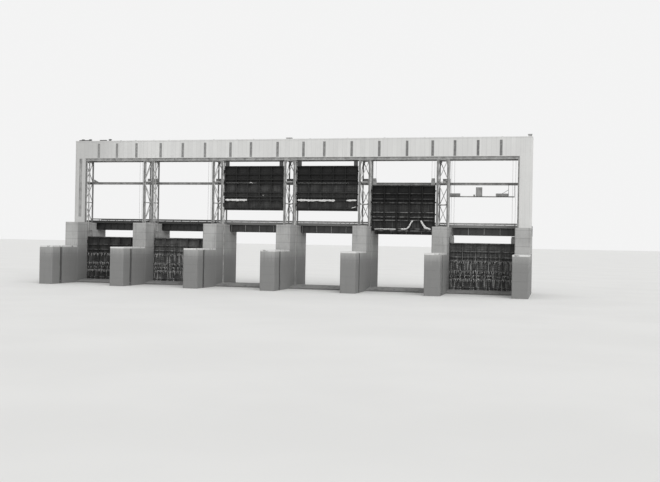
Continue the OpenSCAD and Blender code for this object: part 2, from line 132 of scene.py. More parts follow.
# Boxes on the girder beside each tower, as shares of the tower's width from its middle
BOXES_AT = (
    (), ((-0.89, -0.54), (-0.26, 0.43)), ((-0.84, 0.11),), ((-0.83, 0.23),), ((-0.52, 0.50),),
    ((-0.19, 0.19), (0.43, 0.59)), ((-0.26, 0.43),),
)

# Small ventilators along the roof's downstream edge
ROOF_DOTS = (-3.71, -3.37, -2.96, -2.62, -2.25, -1.63, -1.13, -0.78, 0.40, 1.16, 1.90, 2.68, 3.40, 4.15)

# Large ventilators at the roof's left end, as shares of the pitch from the first tower
ROOF_COWLS = (-0.02, 0.09, 0.39)

# Low ducts beside them, from where to where
ROOF_DUCTS = ((-4.640, -4.395), (-4.165, -4.015))

# Profiles of both ventilators, as heights above the roof and radii
DOT_PROFILE = ((0, 0.010), (0.009, 0.010), (0.010, 0.018), (0.015, 0.017), (0.018, 0.006))
COWL_PROFILE = ((0.030, 0.018), (0.037, 0.018), (0.037, 0.036), (0.045, 0.036), (0.051, 0.016))

# Brightness, share of rust streaks and share of frost of each paint of one tone
PAINTS = {
    "gusset": (0.16, 0.40, 0.4), "guide": (0.50, 0.25, 0.9), "nosing": (0.24, 0.50, 0.4),
    "beam": (0.36, 0.35, 0.3), "girder": (0.26, 0.35, 0.5), "frosted": (0.30, 0.20, 0.9),
    "block": (0.07, 0.40, 0.6), "light_block": (0.24, 0.40, 0.7), "window": (0.28, 0.30, 0.5),
    "louvre": (0.42, 0.25, 0.3),
}

# Steel tone, flange tone (a painted highlight, except on leaves 3 and 4 where it is painted shade below the
# steel tone), share of ice and share of painted shade on the top third of each leaf, as the photo shows them
LEAF_LOOK = {
    1: (0.048, 0.090, 0.40, 0.0), 2: (0.110, 0.170, 1.00, 0.0), 3: (0.054, 0.024, 0.04, 0.55),
    4: (0.052, 0.024, 0.04, 0.70), 5: (0.036, 0.150, 0.10, 0.70), 6: (0.095, 0.150, 0.95, 0.0),
}

# Ridges of ice on the raised leaves: height, depth, the girder that the path is measured from, and the
# path as places from the bay's middle and heights from that girder
ICE_RIDGES = {
    3: (
        (0.038, 0.010, 1, ((-0.600, -0.004), (-0.130, -0.006))),
        (0.002, 0.0015, 4, ((-0.596, 0.0), (0.070, 0.0))),
        (0.011, 0.004, 4, ((-0.080, 0.012), (-0.010, -0.004))),
        (0.011, 0.004, 1, ((0.195, 0.094), (0.222, 0.090))),
    ),
    4: (
        (0.036, 0.011, 1, ((-0.596, 0.002), (-0.300, -0.006), (0.170, -0.004))),
        (0.034, 0.012, 1, ((0.400, -0.004), (0.604, 0.002))),
        (0.012, 0.005, 1, ((0.500, -0.150), (0.600, -0.125))),
        (0.002, 0.0015, 4, ((-0.596, 0.0), (0.450, 0.0))),
    ),
    5: (
        (0.020, 0.008, 0, ((-0.560, -0.010), (-0.130, -0.008))),
        (0.026, 0.010, 0, ((-0.040, -0.004), (0.080, 0.0), (0.125, 0.050), (0.160, 0.120), (0.200, 0.165))),
        (0.036, 0.012, 0, ((0.350, 0.165), (0.385, 0.100), (0.440, 0.030), (0.545, -0.006))),
    ),
}

# Icicles on a closed leaf: the girder that they hang from, and how many
ICICLE_ROWS = ((1, 60), (2, 30), (3, 46), (4, 40))

# Brightness of frost and ice
FROST = 0.78


def leaf_foot(i):
    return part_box("gate_leaf_%d" % i)[0].z


def bay_middle(i):
    return (tower_x[i - 1] + tower_x[i]) / 2


def block_middles(i):
    """Middles of a gate's two lifting blocks along the dam."""
    low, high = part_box("lift_blocks_%d" % i)
    return low.x + BLOCK_HALF, high.x - BLOCK_HALF


def slit_middles():
    return [tower_x[i] + share * pitch for i in range(BAYS) for share in SLIT_AT[i]]


def along_dam(per_bay):
    """Even places from the first tower to the last."""
    return [tower_x[0] + k * pitch / per_bay for k in range(BAYS * per_bay + 1)]


def centred(low, high, step):
    """Places a step apart, as many as fit, centred between low and high."""
    count = int((high - low) / step)
    start = (high + low) / 2 - (count - 1) * step / 2
    return [start + k * step for k in range(count)]


def stepped(low, high, step):
    """Places a step apart, from half a step past low as far as high."""
    return [low + (k + 0.5) * step for k in range(math.ceil((high - low) / step - 0.5))]


def turned(axis, u, w, v):
    """Point or direction at w along the axis x or y, u along the other one and v up."""
    return (w, u, v) if axis == "x" else (u, w, v)


def new_object(name, data):
    made = bpy.data.objects.new(name, data)
    bpy.context.scene.collection.objects.link(made)
    return made


class Shape:
    """Collects simple solids and makes one joined mesh of them."""

    def __init__(self):
        self.verts = []
        self.faces = []

    def loft(self, loops):
        """Closed solid through loops of points, with both ends capped."""
        start = len(self.verts)
        count = len(loops[0])
        for loop in loops:
            self.verts.extend(tuple(p) for p in loop)
        for k in range(len(loops) - 1):
            a = start + k * count
            b = a + count
            for j in range(count):
                n = (j + 1) % count
                self.faces.append((a + j, a + n, b + n, b + j))
        self.faces.append(tuple(start + j for j in reversed(range(count))))
        last = start + (len(loops) - 1) * count
        self.faces.append(tuple(last + j for j in range(count)))

    def box(self, corner, opposite):
        """Box between two opposite corners, in either order."""
        (x0, x1), (y0, y1), (z0, z1) = (sorted(pair) for pair in zip(corner, opposite))
        self.loft([[(x0, y0, z), (x1, y0, z), (x1, y1, z), (x0, y1, z)] for z in (z0, z1)])

    def border(self, low, high, edge):
        """Four bars, edge wide, just inside the rim of an upright opening."""
        x0, y0, z0 = low
        x1, y1, z1 = high
        for x in (x0, x1 - edge):
            self.box((x, y0, z0), (x + edge, y1, z1))
        for z in (z0, z1 - edge):
            self.box((x0 + edge, y0, z), (x1 - edge, y1, z + edge))

    def rings(self, stations, sides):
        """Round solid through (centre, radius) stations along one straight line."""
        first = Vector(stations[0][0])
        along = (Vector(stations[-1][0]) - first).normalized()
        side = along.orthogonal().normalized()
        other = along.cross(side)
        turns = [2 * math.pi * k / sides for k in range(sides)]
        self.loft([[Vector(centre) + radius * (math.cos(t) * side + math.sin(t) * other) for t in turns]
                   for centre, radius in stations])

    def upright(self, foot, profile, sides):
        """Round solid through (height, radius) pairs above its foot."""
        self.rings([(foot + Vector((0, 0, up)), radius) for up, radius in profile], sides)

    def bolt(self, at, normal, radius=0.0022, height=0.0016):
        at = Vector(at)
        normal = Vector(normal)
        self.rings([(at, radius), (at + normal * height * 0.7, radius),
                    (at + normal * height, radius * 0.6)], 6)

    def plate(self, outline, axis, start, end):
        """Flat plate: an outline of (u, v) points, in either direction, between two places along x or y."""
        following = outline[1:] + outline[:1]
        area = sum(u0 * v1 - u1 * v0 for (u0, v0), (u1, v1) in zip(outline, following))
        ends = sorted((start, end), reverse=(area > 0) == (axis == "y"))
        self.loft([[turned(axis, u, w, v) for u, v in outline] for w in ends])

    def add(self, other, x):
        """Copy of another shape, moved along the dam."""
        start = len(self.verts)
        self.verts.extend((px + x, py, pz) for px, py, pz in other.verts)
        self.faces.extend(tuple(start + j for j in face) for face in other.faces)

    def make(self, name, material, body=STRUCTURE, smooth=False):
        mesh = bpy.data.meshes.new(name)
        mesh.from_pydata(self.verts, [], self.faces)
        mesh.update()
        piece = new_object(name, mesh)
        mesh.materials.append(material)
        for polygon in mesh.polygons:
            polygon.use_smooth = smooth
        if body:
            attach(piece, body)
        return piece


def grey(value):
    return (value, value, value * 0.985, 1.0)


class Graph:
    """Short names for the nodes that the materials below are made of."""

    def __init__(self, name):
        self.material = bpy.data.materials.new(name)
        self.material.use_nodes = True
        self.tree = self.material.node_tree
        self.shader = self.tree.nodes["Principled BSDF"]
        self.coord = self.tree.nodes.new("ShaderNodeTexCoord").outputs["Object"]
        self.axes = self.node("ShaderNodeSeparateXYZ", Vector=self.coord).outputs
        geometry = self.tree.nodes.new("ShaderNodeNewGeometry")
        self.normal = self.node("ShaderNodeSeparateXYZ", Vector=geometry.outputs["Normal"]).outputs

    def feed(self, socket, value):
        if hasattr(value, "node"):
            self.tree.links.new(value, socket)
        else:
            socket.default_value = value

    def node(self, kind, **inputs):
        made = self.tree.nodes.new(kind)
        for key, value in inputs.items():
            self.feed(made.inputs[key], value)
        return made

    def math(self, operation, a, b=0.0):
        made = self.tree.nodes.new("ShaderNodeMath")
        made.operation = operation
        self.feed(made.inputs[0], a)
        self.feed(made.inputs[1], b)
        return made.outputs[0]

    def plus(self, a, b):
        return self.math("ADD", a, b)

    def minus(self, a, b):
        return self.math("SUBTRACT", a, b)

    def times(self, a, b):
        return self.math("MULTIPLY", a, b)

    def noise(self, scale, detail=3.0, stretch=None):
        vector = self.coord
        if stretch:
            scaled = self.tree.nodes.new("ShaderNodeVectorMath")
            scaled.operation = "MULTIPLY"
            self.feed(scaled.inputs[0], vector)
            scaled.inputs[1].default_value = stretch
            vector = scaled.outputs[0]
        return self.node("ShaderNodeTexNoise", Vector=vector, Scale=scale, Detail=detail).outputs["Fac"]

    def ramp(self, value, low, high, to_low=0.0, to_high=1.0):
        """Smooth step of value from low to high."""
        made = self.tree.nodes.new("ShaderNodeMapRange")
        made.interpolation_type = "SMOOTHSTEP"
        limits = {"From Min": low, "From Max": high, "To Min": to_low, "To Max": to_high}
        for key, number in limits.items():
            made.inputs[key].default_value = number
        self.feed(made.inputs["Value"], value)
        return made.outputs["Result"]

    def mix(self, factor, a, b):
        made = self.tree.nodes.new("ShaderNodeMix")
        made.data_type = "RGBA"
        self.feed(made.inputs["Factor"], factor)
        for socket, value in ((made.inputs[6], a), (made.inputs[7], b)):
            self.feed(socket, grey(value) if isinstance(value, float) else value)
        return made.outputs[2]

    def spread(self, value, low=0.0, high=1.0):
        """From low to high over a noise's usual range."""
        return self.ramp(value, 0.3, 0.7, low, high)

    def mottled(self, value, a, b):
        """Two tones that take turns where a noise is low and high."""
        return self.mix(self.spread(value), a, b)

    def line(self, value, spacing, width):
        """1 on thin lines that repeat along value, else 0."""
        off = self.math("PINGPONG", value, spacing / 2)
        return self.ramp(off, width / 2, width, 1.0, 0.0)

    def off_middle(self):
        """Distance along the dam from the middle of the nearest pier and tower."""
        return self.math("PINGPONG", self.minus(self.axes["X"], tower_x[0]), pitch / 2)

    def bump(self, height, distance, strength):
        made = self.node("ShaderNodeBump", Height=height, Distance=distance, Strength=strength)
        self.tree.links.new(made.outputs["Normal"], self.shader.inputs["Normal"])

    def finish(self, colour, roughness, metallic=0.0):
        self.feed(self.shader.inputs["Base Color"], colour)
        self.feed(self.shader.inputs["Roughness"], roughness)
        self.shader.inputs["Metallic"].default_value = metallic
        return self.material


def with_frost(graph, colour, amount):
    """White frost on faces that look up, broken by noise."""
    up = graph.ramp(graph.normal["Z"], 0.75, 0.95)
    drifts = graph.times(graph.noise(2.5, 2.0), 0.6)
    patches = graph.ramp(graph.plus(graph.noise(14.0), drifts), 0.58, 0.82)
    return graph.mix(graph.times(graph.times(up, patches), amount), colour, FROST)


def pier_groove_shade_and_frost(graph, tone, dry):
    """Painted shade inside the stoplog grooves, and a crust of frost along the low part's top edge."""
    x = graph.axes["X"]
    y = graph.axes["Y"]
    half = (GROOVE_Y[1] - GROOVE_Y[0]) / 2
    bottom = pier_half - GROOVE_D
    from_groove = graph.math("ABSOLUTE", graph.minus(y, sum(GROOVE_Y) / 2))
    # Painted shade inside each stoplog groove, on the side faces of the inner piers
    groove_painted_shade = graph.times(graph.ramp(from_groove, half - 0.002, half + 0.006, 0.7, 0.0),
                            graph.ramp(graph.off_middle(), bottom - 0.004, bottom - 0.001))
    inner_sides = graph.ramp(graph.math("ABSOLUTE", x), tower_x[-1], tower_x[-1] + 0.02, 1.0, 0.0)
    tone = graph.mix(graph.times(groove_painted_shade, inner_sides), tone, dry * 0.12)
    edge = graph.ramp(graph.axes["Z"], LEDGE - 0.034, LEDGE - 0.020, 0.0, 0.9)
    broken = graph.ramp(graph.noise(9.0), 0.30, 0.44)
    low_part = graph.ramp(y, TALL_Y - 0.006, TALL_Y - 0.002, 1.0, 0.0)
    return graph.mix(graph.times(graph.times(edge, broken), low_part), tone, FROST)


def concrete(name, dry, wet, damp, frost, pier=False):
    """Board-marked concrete in lifts, with streaks.

    It is wet and darker up to the band of heights that damp gives, where it has one.
    """
    lift = 0.150
    board = 0.018
    tie = 0.120
    g = Graph(name)
    z = g.axes["Z"]
    along = g.plus(g.axes["X"], g.axes["Y"])
    clouds = g.noise(2.2, 5.0)
    grain = g.noise(60.0, 4.0)
    streaks = g.noise(1.0, 4.0, (26.0, 26.0, 1.6))
    tone = g.mottled(clouds, dry * 0.80, dry * 1.12)
    tone = g.mix(g.ramp(streaks, 0.50, 0.72, 0.0, 0.55), tone, dry * 0.55)
    tone = g.mix(g.ramp(grain, 0.35, 0.75, 0.0, 0.25), tone, dry * 1.3)
    lifts = g.line(z, lift, 0.0035)
    boards = g.line(z, board, 0.0012)
    ties = g.times(g.line(along, tie, 0.004), g.line(g.plus(z, lift / 2), lift, 0.004))
    tone = g.mix(g.times(lifts, 0.6), tone, dry * 0.42)
    tone = g.mix(g.times(ties, 0.7), tone, dry * 0.3)
    if damp:
        level = g.plus(z, g.times(g.minus(streaks, 0.5), 0.25))
        tone = g.mix(g.times(g.ramp(level, *damp, 1.0, 0.0), 0.9), tone, wet)
    # Piers also get painted shade inside their stoplog grooves, and a frost crust along the ledge
    if pier:
        tone = pier_groove_shade_and_frost(g, tone, dry)
    tone = with_frost(g, tone, frost)
    relief = g.plus(g.times(grain, 0.35), g.times(clouds, 0.2))
    marks = g.plus(lifts, g.plus(ties, g.times(boards, 0.5)))
    g.bump(g.minus(relief, marks), 0.0025, 0.7)
    return g.finish(tone, g.spread(clouds, 0.75, 0.92))


class Paint(Graph):
    """Weathered paint, made of clouds, fine grain and streaks that run down."""

    def __init__(self, name):
        super().__init__(name)
        self.clouds = self.noise(9.0, 4.0)
        self.fine = self.noise(120.0)
        self.streaks = self.noise(1.0, 4.0, (60.0, 60.0, 5.0))

    def tone(self, base, rust):
        """Mottled paint with streaks and duller spots."""
        tone = self.mottled(self.clouds, base * 0.72, base * 1.28)
        tone = self.mix(self.ramp(self.streaks, 0.52, 0.74, 0.0, rust), tone, base * 0.45)
        return self.mix(self.ramp(self.fine, 0.58, 0.72, 0.0, 0.5 * rust), tone, base * 0.5)

    def coat(self, tone, frost):
        self.bump(self.plus(self.fine, self.times(self.clouds, 0.5)), 0.0008, 0.5)
        return self.finish(with_frost(self, tone, frost), self.spread(self.clouds, 0.42, 0.70))


def painted_steel(name, base, rust, frost):
    """Weathered paint of one tone."""
    g = Paint(name)
    return g.coat(g.tone(base, rust), frost)


def tower_steel(name, leg_base, bar_base):
    """Weathered paint of the towers, with paler bracing between the legs."""
    g = Paint(name)
    off_y = g.math("ABSOLUTE", g.minus(g.axes["Y"], (LEG_Y[0] + LEG_Y[1]) / 2))
    inner_x = TOWER_HALF - LEG / 2
    inner_y = (LEG_Y[1] - LEG_Y[0] - LEG) / 2
    bars = g.math("MAXIMUM", g.ramp(g.off_middle(), inner_x - 0.002, inner_x, 1.0, 0.0),
                  g.ramp(off_y, inner_y - 0.002, inner_y, 1.0, 0.0))
    return g.coat(g.mix(bars, g.tone(leg_base, 0.45), g.tone(bar_base, 0.45)), 0.5)


def past_second_bay(graph, clouds):
    """0 in the first two bays, where the deck is dark, and 1 in the others."""
    place = graph.plus(graph.axes["X"], graph.times(clouds, 0.4))
    return graph.ramp(place, tower_x[2] - 0.1, tower_x[2] + 0.5)


def deck_steel(name, dark, pale):
    """Weathered paint of the deck girders, darker in the first two bays."""
    g = Paint(name)
    return g.coat(g.mix(past_second_bay(g, g.clouds), g.tone(dark, 0.35), g.tone(pale, 0.35)), 0.4)


def roof_steel(name, dark, pale):
    """Weathered paint of the roof's fittings, darker at the left end."""
    g = Paint(name)
    from_left = g.ramp(g.axes["X"], tower_x[0] + 1.0, tower_x[0] + 1.5)
    return g.coat(g.mix(from_left, g.tone(dark, 0.3), g.tone(pale, 0.3)), 0.0)


def gate_steel(name, bay, base, flange_tone, ice_share, shade):
    """Dark leaf steel: painted shade on the faces nearest the front, and ice that runs down to the foot.

    The flanges' front faces, broken at the ribs, carry a painted highlight on leaves 1, 2, 5 and 6
    and painted shade on leaves 3 and 4. The top third gets painted shade, by the share shade.
    """
    g = Graph(name)
    y = g.axes["Y"]
    z = g.minus(g.axes["Z"], leaf_foot(bay))
    from_rib = g.minus(g.axes["X"], bay_middle(bay) + (RIB_AT[0] - 0.5) * LEAF_W)
    clouds = g.noise(7.0, 5.0)
    fine = g.noise(140.0)
    patches = g.noise(1.0, 4.0, (11.0, 11.0, 40.0))
    streaks = g.noise(1.0, 5.0, (34.0, 34.0, 2.2))
    tone = g.mottled(clouds, base * 0.6, base * 1.45)
    tone = g.mix(g.ramp(fine, 0.55, 0.75, 0.0, 0.35), tone, base * 1.9)
    # Painted shade on the faces nearest the leaf's front: the flanges of the girders and ribs
    tone = g.mix(g.ramp(y, LEAF_Y + 0.011, LEAF_Y + 0.013, 1.0, 0.0), tone, base * 0.55)
    # Painted highlight on the flanges' front faces, broken in patches and at the ribs; on leaves 3 and 4 the
    # flange tone is below the steel tone, so it is painted shade there
    flanges = g.ramp(y, LEAF_Y + 0.001, LEAF_Y + 0.003, 1.0, 0.0)
    flange_painted_light = g.times(flanges, g.ramp(patches, 0.40, 0.56, 0.05, 1.0))
    at_ribs = g.line(from_rib, RIB_AT[0] * LEAF_W, 0.035)
    tone = g.mix(g.times(flange_painted_light, g.minus(1.0, at_ribs)), tone, flange_tone)
    # Painted shade on the top third of the leaf, by the share shade
    tone = g.mix(g.ramp(z, 0.50 * LEAF_H, 0.72 * LEAF_H, 0.0, shade), tone, base * 0.1)
    tone = g.mix(g.ramp(streaks, 0.50, 0.66, 0.0, 0.5), tone, base * 0.4)
    reach = g.ramp(z, 0.30, 0.75, 1.0, 0.12)
    run = g.times(g.ramp(streaks, 0.33, 0.46, 1.0, 0.0), reach)
    tone = g.mix(g.times(run, ice_share), tone, 0.55)
    g.bump(g.plus(fine, clouds), 0.001, 0.5)
    g.shader.inputs["Specular IOR Level"].default_value = 0.25
    return g.finish(with_frost(g, tone, 0.55), g.spread(clouds, 0.50, 0.75))


def cladding(name, base):
    """Light sheeting: each sheet a little different, with faint streaks below its edges and painted shade
    towards the left end.
    """
    sheet = 0.090
    g = Graph(name)
    along = g.plus(g.axes["X"], g.axes["Y"])
    sheet_tone = g.tree.nodes.new("ShaderNodeTexWhiteNoise")
    sheet_tone.noise_dimensions = "1D"
    g.feed(sheet_tone.inputs["W"], g.math("FLOOR", g.math("DIVIDE", along, sheet)))
    clouds = g.noise(3.0, 4.0)
    streaks = g.noise(1.0, 4.0, (45.0, 45.0, 2.5))
    tone = g.mix(g.ramp(sheet_tone.outputs["Value"], 0.0, 1.0), base * 0.97, base * 1.03)
    tone = g.mix(g.ramp(clouds, 0.35, 0.7, 0.0, 0.35), tone, base * 0.93)
    tone = g.mix(g.ramp(streaks, 0.52, 0.75, 0.0, 0.30), tone, base * 0.80)
    seams = g.line(along, sheet, 0.0016)
    tone = g.mix(g.times(seams, 0.55), tone, base * 0.5)
    # Painted shade: darker towards the gallery's left end and over the left column, fading out across the
    # first bay
    dull = g.ramp(g.axes["X"], tower_x[0] + 0.1, tower_x[1], 0.45, 0.0)
    tone = g.mix(dull, tone, base * 0.48)
    g.bump(g.minus(g.times(clouds, 0.4), seams), 0.0012, 0.6)
    return g.finish(with_frost(g, tone, 0.8), g.spread(clouds, 0.45, 0.62))


def roofing(name, base):
    """Weathered roof sheet under frost."""
    g = Graph(name)
    clouds = g.noise(4.0, 5.0)
    fine = g.noise(90.0)
    tone = g.mottled(clouds, base * 0.75, base * 1.2)
    tone = g.mix(g.ramp(fine, 0.4, 0.8, 0.0, 0.4), tone, base * 0.6)
    g.bump(g.plus(fine, clouds), 0.001, 0.5)
    return g.finish(with_frost(g, tone, 1.0), 0.85)


def window_glass(name):
    """Panes under a film of dust and frost, thicker towards the left end."""
    g = Graph(name)
    dust = g.noise(30.0, 4.0)
    share = g.ramp(dust, 0.35, 0.7)
    film = g.ramp(g.axes["X"], tower_x[0], tower_x[-1], 1.0, 0.0)
    g.shader.inputs["IOR"].default_value = 1.5
    return g.finish(g.mix(film, g.mix(share, 0.15, 0.24), g.mix(share, 0.24, 0.34)),
                    g.ramp(dust, 0.4, 0.8, 0.12, 0.4))


def rope_steel(name):
    """Wire rope: light strands that wind round it."""
    g = Graph(name)
    around = g.math("ARCTAN2", g.axes["Y"], g.axes["X"])
    strands = g.math("SINE", g.plus(g.times(g.axes["Z"], 900.0), g.times(around, 6.0)))
    tone = g.mix(g.ramp(strands, -0.6, 0.8), 0.06, 0.22)
    g.bump(strands, 0.0004, 0.8)
    return g.finish(tone, g.ramp(strands, -1.0, 1.0, 0.35, 0.6), 0.6)


def ice(name):
    """Cloudy lumps of ice."""
    g = Graph(name)
    clouds = g.noise(40.0, 4.0)
    g.bump(g.plus(clouds, g.noise(220.0)), 0.0015, 0.7)
    return g.finish(g.mottled(clouds, 0.58, FROST), g.spread(clouds, 0.25, 0.5))


def guard_rail_steel(name, base):
    """Galvanised rail: dull and dark in the first two bays, frosted in the others."""
    g = Graph(name)
    clouds = g.noise(12.0, 4.0)
    tone = g.mix(past_second_bay(g, clouds), base * 0.12, base)
    tone = g.mix(g.spread(clouds, 0.0, 0.5), tone, base * 0.35)
    g.bump(clouds, 0.001, 0.5)
    return g.finish(with_frost(g, tone, 0.9), g.spread(clouds, 0.4, 0.6))


def deck_concrete(name, dark, pale):
    """Worn concrete of the deck's slab and kerbs: dark in the first two bays, frosted in the others."""
    g = Graph(name)
    clouds = g.noise(6.0, 5.0)
    grain = g.noise(80.0, 4.0)
    tone = g.mix(past_second_bay(g, clouds), dark, pale)
    tone = g.mix(g.ramp(grain, 0.35, 0.75, 0.0, 0.4), tone, dark)
    g.bump(g.plus(grain, clouds), 0.002, 0.6)
    return g.finish(with_frost(g, tone, 0.8), g.spread(clouds, 0.75, 0.92))


def seal_rubber(name):
    """Black rubber with a fine grain."""
    g = Graph(name)
    fine = g.noise(200.0)
    g.bump(fine, 0.0005, 0.5)
    return g.finish(g.mottled(fine, 0.015, 0.045), g.spread(fine, 0.6, 0.85))


def planks(name, base):
    """Worn timber boards laid along the dam."""
    g = Graph(name)
    grain = g.noise(1.0, 5.0, (3.0, 120.0, 120.0))
    g.bump(grain, 0.001, 0.6)
    return g.finish(with_frost(g, g.mottled(grain, base * 0.6, base * 1.4), 0.7), 0.8)


# Materials, one for each finish
paint = {name: painted_steel(name + "_steel_finish", *look) for name, look in PAINTS.items()}
pier_finish = concrete("pier_concrete_finish", 0.40, 0.21, (0.50, 0.84), 0.9, pier=True)
sill_finish = concrete("sill_concrete_finish", 0.26, 0.16, (0.30, 0.50), 0.2)
floor_finish = concrete("floor_concrete_finish", 0.32, 0.20, None, 0.0)
deck_finish = deck_concrete("deck_concrete_finish", 0.045, 0.26)
tower_finish = tower_steel("tower_steel_finish", 0.20, 0.42)
deck_steel_finish = deck_steel("deck_steel_finish", 0.022, 0.055)
rail_finish = guard_rail_steel("rail_steel_finish", 0.46)
vent_finish = roof_steel("vent_steel_finish", 0.10, 0.38)
bolt_finish = painted_steel("bolt_finish", 0.13, 0.40, 0.3)
clad_finish = cladding("cladding_finish", 0.68)
roof_finish = roofing("roofing_finish", 0.45)
glass_finish = window_glass("window_glass_finish")
rope_finish = rope_steel("rope_finish")
ice_finish = ice("ice_finish")
seal_finish = seal_rubber("seal_finish")
plank_finish = planks("plank_finish", 0.16)
gate_finish = {i: gate_steel("gate_steel_finish_%d" % i, i, *look) for i, look in LEAF_LOOK.items()}


def dress(node, material):
    """Gives a CAD node its finish."""
    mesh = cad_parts[node].data
    mesh.materials.clear()
    mesh.materials.append(material)


def dress_frame():
    for i in range(1, PIERS + 1):
        dress("pier_%d" % i, pier_finish)
        dress("tower_%d" % i, tower_finish)
    for i in GATES:
        dress("gate_leaf_%d" % i, gate_finish[i])
        dress("lift_blocks_%d" % i, paint["block"] if i in FULLY_RAISED else paint["light_block"])
    for material, nodes in (
        (sill_finish, ("sills",)),
        (paint["guide"], ("gate_guides",)),
        (paint["beam"], ("gallery_beams",)),
        (floor_finish, ("gallery_floor",)),
        (clad_finish, ("gallery_front_wall", "gallery_back_wall", "gallery_end_walls",
                       "column_cladding_left", "column_cladding_right")),
        (roof_finish, ("gallery_roof",)),
        (glass_finish, ("gallery_glazing",)),
        (vent_finish, ("roof_vent",)),
        (paint["girder"], ("mid_girder", "girder_boxes", "hung_stage")),
        (deck_steel_finish, ("deck_girders",)),
        (deck_finish, ("deck_slab", "deck_kerbs")),
        (rail_finish, ("deck_railing",)),
    ):
        for node in nodes:
            dress(node, material)


def gusset_outline(edge, inward, z, half, reach, top):
    """Corners of a gusset: two on the leg's edge, then two at its narrower tip."""
    tip = edge + inward * reach
    low, high = (0.3, 1.0) if top else (-0.4, 0.4)
    return [(edge, z + half), (edge, z - half), (tip, z + low * half), (tip, z + high * half)]


def gusset_plate(plates, bolts, outline, axis, face, out):
    """Thin plate on a bracing joint with six bolts, which close up towards its tip."""
    outer = face + out * 0.002
    plates.plate(outline, axis, face, outer)
    (u0, v0), (u1, v1), tip = outline[:3]
    for share in (0.3, 0.7):
        for along in (0.25, 0.5, 0.75):
            u = u0 + share * (tip[0] - u0)
            v = (v0 + v1) / 2 + (along - 0.5) * (v1 - v0) * (1 - 0.45 * share)
            bolts.bolt(turned(axis, u, outer, v), turned(axis, 0, out, 0))


def tower_gussets():
    """Gusset plates with bolts where the bracing meets the legs, and anchor bolts at the feet."""
    plates = Shape()
    bolts = Shape()
    height = tower_high.z - tower_low.z
    for k in range(PANELS + 1):
        top = k == PANELS
        half, reach = (0.040, 0.026) if top else (0.024, 0.020)
        z = tower_low.z + min(max(k * height / PANELS, half), height - half)
        for side in (-1, 1):
            for leg_y, out in zip(LEG_Y, (-1, 1)):
                along = gusset_outline(side * (TOWER_HALF - LEG / 2), -side, z, half, reach, top)
                across = gusset_outline(leg_y - out * LEG / 2, -out, z, half, reach, top)
                gusset_plate(plates, bolts, along, "y", leg_y + out * BAR_HALF, out)
                gusset_plate(plates, bolts, across, "x", side * (TOWER_HALF + BAR_HALF), side)
    foot_top = tower_low.z + 0.008
    for side in (-1, 1):
        for leg_y in LEG_Y:
            for off in (-1, 1):
                at = (side * (LEG_OUT - LEG * 1.5), leg_y + off * LEG * 0.27, foot_top)
                bolts.bolt(at, (0, 0, 1), 0.0035, 0.004)
    gussets = Shape()
    heads = Shape()
    for x in tower_x:
        gussets.add(plates, x)
        heads.add(bolts, x)
    gussets.make("tower_gussets", paint["gusset"])
    heads.make("tower_bolts", bolt_finish)


def guide_bolts():
    """Bolt rows up the flanges of the guides, where they stand free above the piers."""
    step = 0.050
    off = LEG_OUT + 0.010
    heads = Shape()
    for i in range(BAYS):
        for x in (tower_x[i] + off, tower_x[i + 1] - off):
            for k in range(int((guide_high.z - pier_top) / step)):
                z = pier_top + (k + 0.5) * step
                heads.bolt((x, guide_low.y, z), (0, -1, 0))
                heads.bolt((x, guide_high.y, z), (0, 1, 0))
    heads.make("guide_bolts", bolt_finish)


def slot_nosings():
    """Steel angles that line the edges of the gate slots and stoplog grooves."""
    thick = 0.0015
    width = 0.010
    spans = ((guide_low.y - width, guide_low.y, pier_top), (guide_high.y, guide_high.y + width, pier_top),
             (GROOVE_Y[0] - width, GROOVE_Y[0], LEDGE), (GROOVE_Y[1], GROOVE_Y[1] + width, LEDGE))
    angles = Shape()
    for i in range(BAYS):
        for face, out in ((tower_x[i] + pier_half, 1), (tower_x[i + 1] - pier_half, -1)):
            for y0, y1, top in spans:
                angles.box((face, y0, sill_top), (face + out * thick, y1, top))
    angles.make("slot_nosings", paint["nosing"])


def cladding_ribs():
    """Standing ribs of the sheeting on the gallery walls and the end columns."""
    step = 0.030
    proud = 0.0022
    half = 0.0025
    beside = 2 * half
    above_slit = SLIT_HEAD + 0.008
    slits = slit_middles()
    ribs = Shape()
    for x in centred(gallery_low.x, gallery_high.x, step):
        at_slit = any(abs(x - s) < SLIT_W / 2 + beside for s in slits)
        foot = above_slit if at_slit else gallery_low.z
        for face, out in GALLERY_FACES:
            ribs.box((x - half, face, foot), (x + half, face + out * proud, gallery_high.z))
    for node, side in (("column_cladding_left", -1), ("column_cladding_right", 1)):
        low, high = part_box(node)
        left, right = (low.x + edge for edge in COLUMN_SLIT)
        for x in stepped(low.x, high.x, step):
            if side > 0 or not left - beside < x < right + beside:
                ribs.box((x - half, low.y - proud, low.z), (x + half, low.y, high.z))
        face = low.x if side < 0 else high.x
        for y in stepped(low.y, high.y, step):
            ribs.box((face, y - half, low.z), (face + side * proud, y + half, roof_low.z))
    ribs.make("cladding_ribs", clad_finish)


def gallery_trims():
    """Coping along the roof's edge and a drip strip below the fascia."""
    proud = 0.004
    foot, top = roof_high.z - 0.018, roof_high.z + proud
    drip_foot, drip_top = gallery_low.z - 0.002, gallery_low.z + 0.008
    trims = Shape()
    for y in (roof_low.y, roof_high.y):
        trims.box((roof_low.x - proud, y - proud, foot), (roof_high.x + proud, y + proud, top))
    for x in (roof_low.x, roof_high.x):
        trims.box((x - proud, roof_low.y + proud, foot), (x + proud, roof_high.y - proud, top))
    end = tower_x[0] + LEG_OUT
    for face, out in GALLERY_FACES:
        trims.box((end, face, drip_foot), (-end, face + out * proud, drip_top))
    trims.make("gallery_trims", clad_finish)


